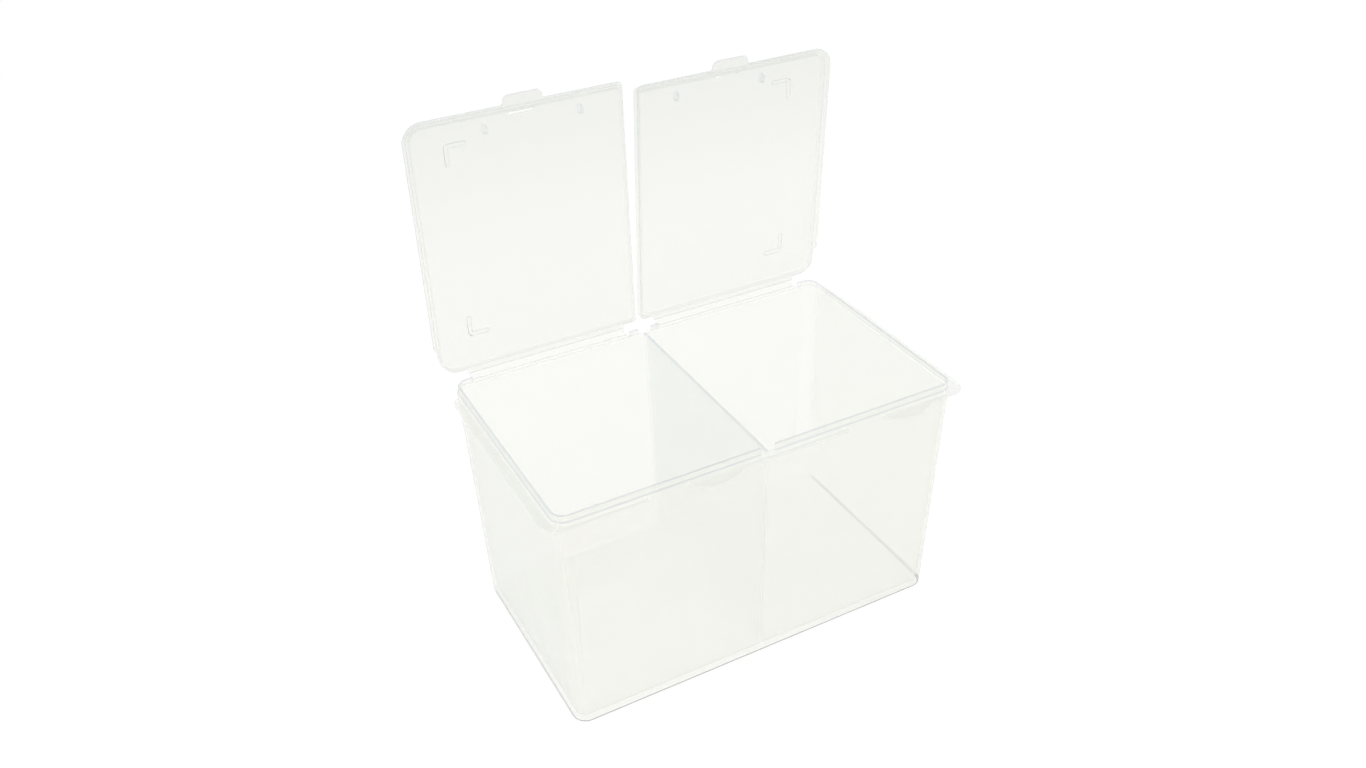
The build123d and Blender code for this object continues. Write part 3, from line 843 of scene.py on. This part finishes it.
def plastic(name, *, clear, edge, milk, scatter, seed, rough=0.325, whiten=0.0, painted_top_shade=0.0,
            painted_glow_tint=(0.885, 0.885, 0.880), painted_shade_behind=None):
    """Natural polypropylene: light passes, a little is scattered, edges gather colour.
    Flow marks, fine mould grain and scratches come from noise in object space.

    clear, edge: tint of light passing face on and at a glancing angle
    milk, whiten: scattered colour, and what clouded flow adds to it
    scatter: share scattered face on and at a glancing angle
    painted_top_shade: how much painted shade darkens the free end of an open lid
    painted_glow_tint: tint of the painted light emitted in place of light scattered many times;
    painted_shade_behind: painted dark tint seen from the back"""
    mat = bpy.data.materials.new(name)
    mat.use_nodes = True
    mat.node_tree.nodes.clear()
    graph = Graph(mat.node_tree)
    add = graph.add
    coords = add("TexCoord", (-1600, 0), out="Object")
    shifted = add("Mapping", (-1400, 0), {
        "Vector": coords, "Location": (seed, seed * 0.37, seed * 0.61)})

    def noise(scale, detail, roughness, y, vector=shifted):
        return add("TexNoise", (-1000, y), {"Scale": scale, "Detail": detail,
                   "Roughness": roughness, "Vector": vector}, out="Fac")

    flow = noise(scale=14, detail=3, roughness=0.5, y=400)       # slow melt-flow clouding
    grain = noise(scale=2600, detail=2, roughness=0.6, y=150)    # mould texture
    stretched = add("Mapping", (-1200, -100), {
        "Vector": shifted, "Scale": (0.12, 3.2, 3.2), "Rotation": (0.2, 0.12, 0.16)})
    streaks = noise(scale=420, detail=2, roughness=0.6, y=-100, vector=stretched)
    scratches = add("ValToRGB", (-780, -100), {"Fac": streaks})  # fine handling scratches
    stops = scratches.node.color_ramp.elements
    stops[0].position = 0.66
    stops[1].position = 0.76

    normal = add("Bump", (-500, 150), {"Strength": 0.06, "Distance": 0.0002, "Height": grain})
    normal = add("Bump", (-300, 100), {
        "Strength": 0.12, "Distance": 0.0004, "Height": flow, "Normal": normal})
    normal = add("Bump", (-100, 50), {
        "Strength": 0.05, "Distance": 0.0001, "Height": scratches, "Normal": normal})

    facing = add("LayerWeight", (-500, 600), {"Blend": 0.5}, out="Facing")
    # a high power keeps the effect to the most glancing angles
    glancing = add("Math", (-300, 600), {0: facing, 1: 9.0}, operation="POWER")

    # colour that light keeps when it passes straight through
    tint = graph.mix_colours(glancing, clear, edge, at=(0, 700))
    # painted shade: the tint darkens towards the free end of an open lid, high above the rim
    height = add("SeparateXYZ", (-300, 1200), {"Vector": coords}, out="Z")
    painted_top_shade_share = graph.remap(height, (RIM_Z + 0.045, RIM_Z + 0.135), (0.0, painted_top_shade),
                        at=(-100, 1200), interpolation_type="SMOOTHSTEP")
    tint = graph.mix_colours(painted_top_shade_share, tint, (0.80, 0.82, 0.83), at=(40, 1000))
    if painted_shade_behind:                                   # painted shade: dark only where it is seen through the panel
        backfacing = add("NewGeometry", (-100, 1400), out="Backfacing")
        tint = graph.mix_colours(backfacing, tint, painted_shade_behind, at=(150, 850))
    passed = add("BsdfTransparent", (250, 700), {"Color": tint})

    # scattered part, half of it thrown back and half let through
    milky = graph.mix_colours(flow, [c * 0.975 for c in milk],
                              [min(1, c * 1.02 + whiten) for c in milk], at=(0, 450))
    lit = {"Color": milky, "Normal": normal}
    diffuse = add("BsdfDiffuse", (250, 500), lit)
    translucent = add("BsdfTranslucent", (250, 350), lit)
    scattered = graph.mix_shaders(0.5, diffuse, translucent, at=(450, 430))

    # painted light: an emission stands in for light scattered many times inside the wall, which comes out evenly,
    # whatever way it went in
    painted_glow_colour = graph.mix_colours(1.0, milky, painted_glow_tint, at=(250, 250), blend_type="MULTIPLY")
    painted_glow = add("Emission", (450, 250), {"Color": painted_glow_colour})
    scattered = graph.mix_shaders(0.62, scattered, painted_glow, at=(600, 350))

    # how much is scattered: more at a glancing angle, more in clouded flow and scratches
    share = graph.remap(glancing, (0.0, 1.0), scatter, at=(0, 250))
    cloud = graph.remap(flow, (0.3, 0.7), (0.95, 1.05), at=(0, 50))
    share = add("Math", (250, 180), {0: share, 1: cloud}, operation="MULTIPLY")
    share = add("Math", (420, 180), {0: scratches, 1: 0.03, 2: share},
                operation="MULTIPLY_ADD")
    body = graph.mix_shaders(share, passed, scattered, at=(700, 500))

    # satin surface reflection
    satin = graph.remap(flow, (0.3, 0.7), (rough * 0.9, rough * 1.2), at=(250, -50))
    glossy = add("BsdfGlossy", (450, -50), {
        "Color": (0.97, 0.98, 0.97, 1), "Roughness": satin, "Normal": normal})
    fresnel = add("Fresnel", (450, 120), {"IOR": 1.35, "Normal": normal})
    mirrored = add("Math", (620, 120), {0: fresnel, 1: 0.38}, operation="MULTIPLY")
    surface = graph.mix_shaders(mirrored, body, glossy, at=(900, 400))

    # thin plastic casts a faint shadow only
    shadow_ray = add("LightPath", (700, 800), out="Is Shadow Ray")
    diffuse_ray = shadow_ray.node.outputs["Is Diffuse Ray"]
    faint = add("BsdfTransparent", (900, 650), {"Color": (0.978, 0.978, 0.974, 1)})
    soft = add("Math", (900, 850), {0: shadow_ray, 1: diffuse_ray}, operation="MAXIMUM")
    final = graph.mix_shaders(soft, surface, faint, at=(1150, 400))
    add("OutputMaterial", (1400, 0), {"Surface": final}, out=None)
    mat.diffuse_color = (*milk, 0.5)
    return mat


TUB_MAT = plastic(
    "natural_pp_tub", clear=(0.998, 0.9985, 0.981), edge=(0.82, 0.845, 0.875),
    milk=(0.985, 0.990, 0.955), scatter=(0.265, 0.40), seed=3.1)
LID_MAT = plastic(
    "natural_pp_lid", clear=(0.995, 0.996, 0.978), edge=(0.74, 0.775, 0.815),
    milk=(0.970, 0.975, 0.940), scatter=(0.32, 0.46), seed=8.7, rough=0.335, painted_top_shade=0.26)
# painted shade: darker tints for the flanks of the lids' marks and ribs
RIDGE_PAINTED_SHADE_MAT = plastic(
    "natural_pp_ridge_painted_shade", clear=(0.90, 0.91, 0.92), edge=(0.66, 0.69, 0.72),
    milk=(0.95, 0.955, 0.945), scatter=(0.30, 0.40), seed=8.7, rough=0.335,
    painted_glow_tint=(0.84, 0.84, 0.85))
RIDGE_PAINTED_DEEP_SHADE_MAT = plastic(
    "natural_pp_ridge_painted_deep_shade", clear=(0.86, 0.87, 0.88), edge=(0.74, 0.76, 0.79),
    milk=(0.95, 0.955, 0.94), scatter=(0.26, 0.40), seed=8.7, rough=0.335,
    painted_glow_tint=(0.84, 0.84, 0.84), painted_shade_behind=(0.40, 0.42, 0.44))
THIN_MAT = plastic(
    "natural_pp_flange", clear=(0.999, 0.9995, 0.99), edge=(0.90, 0.91, 0.93),
    milk=(0.985, 0.990, 0.965), scatter=(0.10, 0.22), seed=3.1)
# painted shade: darker tint for the dark lines along the lip, the divider's top and the lids' lower skirt edges
LIP_EDGE_SHADE_MAT = plastic(
    "natural_pp_lip_edge_painted_shade", clear=(0.84, 0.86, 0.89), edge=(0.74, 0.77, 0.81),
    milk=(0.95, 0.96, 0.96), scatter=(0.22, 0.36), seed=3.1, painted_glow_tint=(0.82, 0.83, 0.85))
DIVIDER_MAT = plastic(
    "natural_pp_divider", clear=(0.990, 0.9935, 0.988), edge=(0.82, 0.845, 0.875),
    milk=(0.975, 0.984, 0.968), scatter=(0.265, 0.40), seed=5.9)
# painted shade: nearly black tint for the dark contact line along the tub's bottom edge
FOOT_SHADE_MAT = plastic(
    "natural_pp_foot_painted_shade", clear=(0.36, 0.375, 0.39), edge=(0.34, 0.355, 0.37),
    milk=(0.90, 0.905, 0.90), scatter=(0.12, 0.2), seed=3.1, painted_glow_tint=(0.60, 0.61, 0.62))
# painted highlight: brighter tint for the light line along the flange's outer edge
FLANGE_EDGE_HIGHLIGHT_MAT = plastic(
    "natural_pp_flange_edge_painted_highlight", clear=(0.99, 0.99, 0.985), edge=(0.92, 0.93, 0.94),
    milk=(0.995, 0.995, 0.985), scatter=(0.34, 0.42), seed=3.1, whiten=0.005,
    painted_glow_tint=(0.96, 0.96, 0.95))
HINGE_MAT = plastic(
    "natural_pp_hinge", clear=(0.995, 0.995, 0.985), edge=(0.92, 0.92, 0.92),
    milk=(0.975, 0.975, 0.95), scatter=(0.22, 0.34), seed=5.3, rough=0.36, whiten=0.02)

# in the order of the slot numbers above
for mat in (TUB_MAT, THIN_MAT, LIP_EDGE_SHADE_MAT, FLANGE_EDGE_HIGHLIGHT_MAT, DIVIDER_MAT, FOOT_SHADE_MAT):
    tub.data.materials.append(mat)
for s in SIDES:
    for mat in (LID_MAT, RIDGE_PAINTED_SHADE_MAT, RIDGE_PAINTED_DEEP_SHADE_MAT, LIP_EDGE_SHADE_MAT):
        lids[s].data.materials.append(mat)
    films[s][0].data.materials.append(HINGE_MAT)

# ------------------------------------------------------------------ which body each piece rides on
bodies = frame["record"]["behaviour"]["bodies"]
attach(tub, "tub")
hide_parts(*[n for n in bodies["tub"] if not n.endswith("hinge_film")])
for s in SIDES:
    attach(lids[s], s + "_lid")
    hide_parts(*bodies[s + "_lid"])
    film, start, end = films[s]
    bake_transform(film)
    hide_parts(s + "_hinge_film")


# ------------------------------------------------------------------ floor
def floor_material():
    mat = bpy.data.materials.new("pale_floor")
    mat.use_nodes = True
    tree = mat.node_tree
    graph = Graph(tree)
    base = tree.nodes["Principled BSDF"]
    clouds = graph.add("TexNoise", inputs={"Scale": 3.0}, out="Fac")
    pale = graph.mix_colours(clouds, (0.93, 0.93, 0.93), (0.95, 0.95, 0.95))
    tree.links.new(pale, base.inputs["Base Color"])
    tree.links.new(pale, base.inputs["Emission Color"])
    base.inputs["Roughness"].default_value = 0.9
    base.inputs["Specular IOR Level"].default_value = 0.1
    base.inputs["Emission Strength"].default_value = 0.26
    # far from the object the floor runs into the white backdrop
    position = graph.add("NewGeometry", out="Position")
    distance = graph.add("VectorMath", inputs={0: position}, out="Value", operation="LENGTH")
    far = graph.remap(distance, (0.45, 1.1), (0.0, 1.0), interpolation_type="SMOOTHSTEP")
    white = graph.add("Emission", inputs={"Color": (1, 1, 1, 1)})
    mixed = graph.mix_shaders(far, base.outputs["BSDF"], white)
    tree.links.new(mixed, tree.nodes["Material Output"].inputs["Surface"])
    return mat


def build_floor():
    bm = bmesh.new()
    bmesh.ops.create_grid(bm, x_segments=8, y_segments=8, size=6.0)
    for v in bm.verts:
        v.co.z = -0.0001                         # just under the tub
    floor = to_object("floor", bm)
    floor.data.materials.append(floor_material())
    return floor


build_floor()
scene = bpy.context.scene


# ------------------------------------------------------------------ light
def build_world():
    """White to the camera; the object is lit by a soft studio, dimmer from below."""
    world = bpy.data.worlds.new("studio")
    scene.world = world
    world.use_nodes = True
    tree = world.node_tree
    graph = Graph(tree)
    backdrop = tree.nodes["Background"]
    backdrop.inputs["Color"].default_value = (1, 1, 1, 1)
    backdrop.inputs["Strength"].default_value = 1.0
    direction = graph.add("TexCoord", out="Generated")
    height = graph.add("SeparateXYZ", inputs={"Vector": direction}, out="Z")
    strength = graph.remap(height, (-0.1, 0.9), (0.84, 1.00))
    room = graph.add("Background", inputs={"Strength": strength})
    camera_ray = graph.add("LightPath", out="Is Camera Ray")
    mixed = graph.mix_shaders(camera_ray, room, backdrop.outputs["Background"])
    tree.links.new(mixed, tree.nodes["World Output"].inputs["Surface"])


def disk_light(name, size, power, place, target):
    data = bpy.data.lights.new(name, "AREA")
    data.shape = "DISK"
    data.size = size
    data.energy = power
    ob = bpy.data.objects.new(name, data)
    scene.collection.objects.link(ob)
    ob.location = place
    ob.rotation_euler = (Vector(target) - Vector(place)).to_track_quat("-Z", "Y").to_euler()
    ob.visible_glossy = False


build_world()
disk_light("key", size=1.4, power=3.5, place=(-0.9, -1.0, 1.9), target=(0, 0, 0.1))
disk_light("fill", size=1.8, power=1, place=(1.4, -0.4, 1.5), target=(0, 0, 0.1))
disk_light("back", size=1.6, power=2, place=(0.2, 1.6, 1.6), target=(0, 0, 0.12))


# ------------------------------------------------------------------ camera and render
def build_camera():
    """Camera in front of and above the box, to its left."""
    data = bpy.data.cameras.new("camera")
    cam = bpy.data.objects.new("camera", data)
    scene.collection.objects.link(cam)
    right = (0.87920395, -0.47575976, -0.02555515)
    up = (0.27344287, 0.45994467, 0.84479577)
    back = (-0.39016588, -0.74973566, 0.53447828)
    pose = Matrix((right, up, back)).transposed().to_4x4()
    pose.translation = Vector((-0.2362135, -0.4360721, 0.4420357))
    cam.matrix_world = pose
    data.sensor_fit = "HORIZONTAL"
    data.sensor_width = 36.0
    data.lens = 33.685458
    data.shift_x = -0.00017349927                # shifts are shares of the picture's width
    data.shift_y = -0.0090131772
    data.clip_start = 0.02
    scene.camera = cam


build_camera()
scene.view_settings.view_transform = "Standard"
scene.view_settings.look = "None"
scene.view_settings.exposure = 0.0
scene.view_settings.gamma = 1.0
scene.cycles.max_bounces = 24
scene.cycles.transparent_max_bounces = 64        # many thin walls lie behind one another
scene.cycles.transmission_bounces = 16
scene.cycles.glossy_bounces = 6
scene.cycles.diffuse_bounces = 6
scene.cycles.caustics_reflective = False
scene.cycles.caustics_refractive = False
